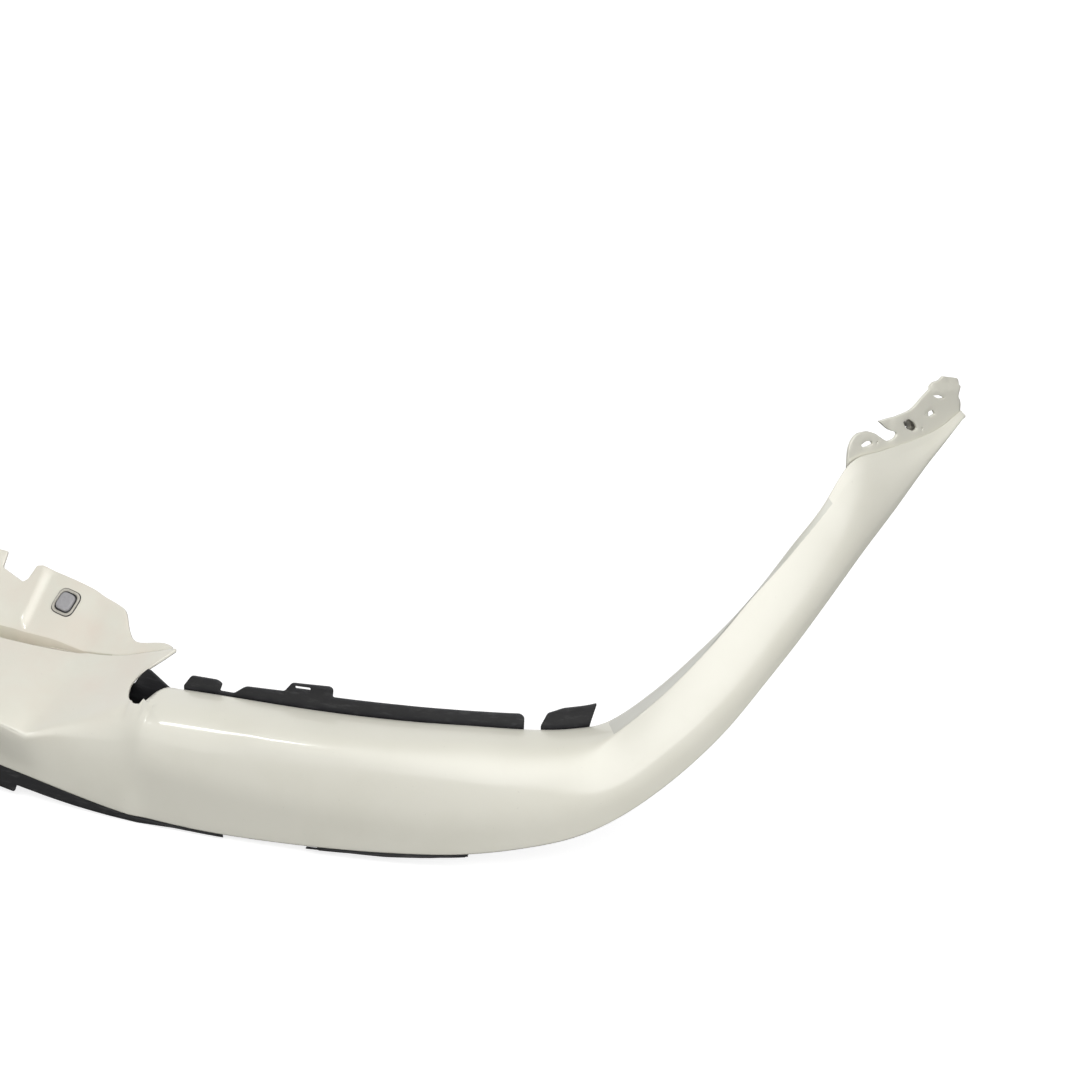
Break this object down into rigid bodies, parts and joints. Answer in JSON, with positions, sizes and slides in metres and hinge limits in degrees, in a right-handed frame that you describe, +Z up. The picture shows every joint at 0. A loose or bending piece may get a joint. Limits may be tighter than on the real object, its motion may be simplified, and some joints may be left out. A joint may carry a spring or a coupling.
{
  "type": "bumper cover",
  "caption": "Slim upper front bumper cover: wrap-round painted skin with hood flange, horn-shaped nose corners, slots, wing flanges, black headlamp brackets and lower moulding.",
  "frame": {"origin": "centre of the cover's footprint at the height of its lowest trim, on the vehicle's centre plane", "axes": "+Z up; the front of the cover faces -Y; +X is the vehicle's left side, which is at the right in the picture"},
  "size_m": [1.7866, 0.6324, 0.3328],
  "materials": {
    "white_paint": "warm white clear-coated paint, lightly used",
    "black_bracket_plastic": "fine-grained black polypropylene",
    "black_moulding_plastic": "satin black moulded plastic",
    "grey_pad": "soft grey foam rubber",
    "screw_steel": "zinc-plated pan-head screws",
    "nut_steel": "zinc-plated sheet nut",
    "rivet_nylon": "black nylon push rivet"
  },
  "bodies": {
    "cover": {"bumper_skin": "white_paint", "headlamp_bracket_left": "black_bracket_plastic", "headlamp_bracket_right": "black_bracket_plastic", "corner_bracket_left": "black_bracket_plastic", "corner_bracket_right": "black_bracket_plastic", "slot_closer_left": "black_bracket_plastic", "slot_closer_right": "black_bracket_plastic", "upper_retainer": "black_bracket_plastic", "lower_moulding": "black_moulding_plastic", "lower_trim_left": "black_moulding_plastic", "lower_trim_right": "black_moulding_plastic", "hood_pad_left": "grey_pad", "hood_pad_right": "grey_pad", "bracket_screws_left": "screw_steel", "bracket_screws_right": "screw_steel", "retainer_screws": "screw_steel", "trim_screws_left": "screw_steel", "trim_screws_right": "screw_steel", "wing_nut_left": "nut_steel", "wing_nut_right": "nut_steel", "rivet_sleeves": "rivet_nylon"},
    "tow_cap": {"tow_eye_cover": "white_paint"},
    "pin_inner_left": {"rivet_pin_inner_left": "rivet_nylon"},
    "pin_inner_right": {"rivet_pin_inner_right": "rivet_nylon"},
    "pin_outer_left": {"rivet_pin_outer_left": "rivet_nylon"},
    "pin_outer_right": {"rivet_pin_outer_right": "rivet_nylon"}
  },
  "joints": [
    {"name": "tow_cap_pull", "type": "slide", "parent": "cover", "child": "tow_cap", "axis": [-0.2123, -0.9772, 0], "range_m": [0, 0.012]},
    {"name": "inner_left_pin_slide", "type": "slide", "parent": "cover", "child": "pin_inner_left", "axis": [0, 0, -1], "range_m": [0, 0.006]},
    {"name": "inner_right_pin_slide", "type": "slide", "parent": "cover", "child": "pin_inner_right", "axis": [0, 0, -1], "range_m": [0, 0.006]},
    {"name": "outer_left_pin_slide", "type": "slide", "parent": "cover", "child": "pin_outer_left", "axis": [0, 0, -1], "range_m": [0, 0.006]},
    {"name": "outer_right_pin_slide", "type": "slide", "parent": "cover", "child": "pin_outer_right", "axis": [0, 0, -1], "range_m": [0, 0.006]}
  ]
}
